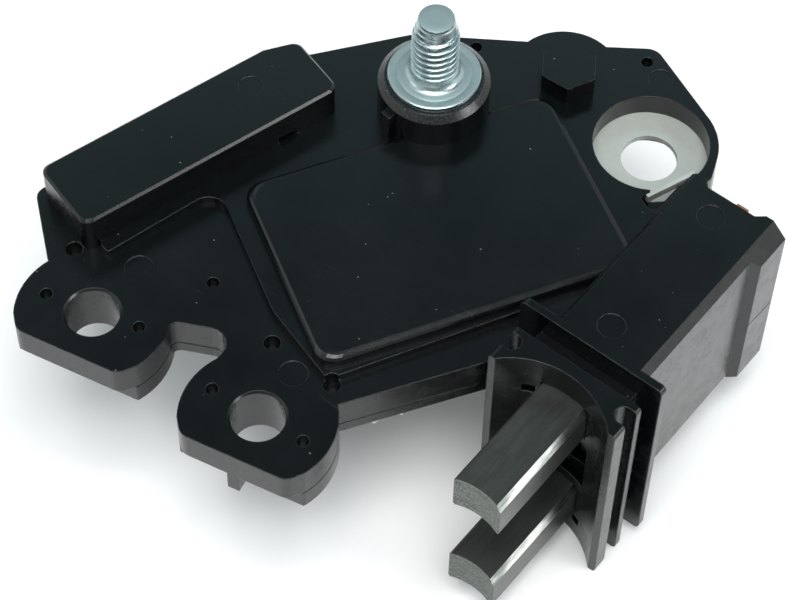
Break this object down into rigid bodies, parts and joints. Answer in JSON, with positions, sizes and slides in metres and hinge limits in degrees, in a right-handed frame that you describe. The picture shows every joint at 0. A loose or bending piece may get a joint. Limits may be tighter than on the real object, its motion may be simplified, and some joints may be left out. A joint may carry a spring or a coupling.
{
  "type": "alternator voltage regulator",
  "caption": "Black moulded alternator voltage regulator with screw lugs, a stud terminal, a contact ring and sprung carbon brushes in a flanged holder.",
  "frame": {"origin": "axis of the inner lug's bore, on the mounting face under the lugs", "axes": "+Z out of the mounting face, towards the stud's tip; the brush tips point to -Y; the nose flanges lie along X"},
  "size_m": [0.0771, 0.0807, 0.0451],
  "materials": {
    "moulding": "black glass-filled thermoset, glossy on its top faces and duller on its walls",
    "aluminium": "bare die-cast aluminium",
    "ceramic": "unglazed alumina ceramic",
    "chip": "moulded chip package",
    "gel": "soft clear silicone gel",
    "plated_steel": "bright zinc plating over turned steel",
    "contact_plating": "matte tin plating",
    "copper": "bare copper",
    "capacitor_film": "dipped film capacitor",
    "potting": "cast black resin",
    "carbon": "pressed copper-graphite, dull with a metallic sheen",
    "spring_steel": "drawn spring wire"
  },
  "bodies": {
    "regulator": {"housing": "moulding", "heat_sink": "aluminium", "hybrid_board": "ceramic", "control_chip": "chip", "power_transistor": "chip", "freewheel_diode": "chip", "board_capacitors": "chip", "board_resistors": "chip", "board_gel": "gel", "terminal_stud": "plated_steel", "stud_busbar": "copper", "ear_contact_ring": "contact_plating", "suppression_capacitor": "capacitor_film", "capacitor_leads": "contact_plating", "capacitor_potting": "potting", "brush_spring_upper": "spring_steel", "brush_spring_lower": "spring_steel", "brush_terminal_upper": "copper", "brush_terminal_lower": "copper", "brush_holder_cap": "moulding"},
    "upper_brush": {"brush_upper": "carbon", "pigtail_upper": "copper"},
    "lower_brush": {"brush_lower": "carbon", "pigtail_lower": "copper"}
  },
  "joints": [
    {"name": "brush_upper_slide", "type": "slide", "parent": "regulator", "child": "upper_brush", "axis": [0, 1, 0], "range_m": [0, 0.0134], "stiffness_N_per_m": 90, "springref_m": -0.02, "deforming": ["brush_spring_upper", "pigtail_upper"]},
    {"name": "brush_lower_slide", "type": "slide", "parent": "regulator", "child": "lower_brush", "axis": [0, 1, 0], "range_m": [0, 0.0134], "stiffness_N_per_m": 90, "springref_m": -0.02, "deforming": ["brush_spring_lower", "pigtail_lower"]}
  ]
}
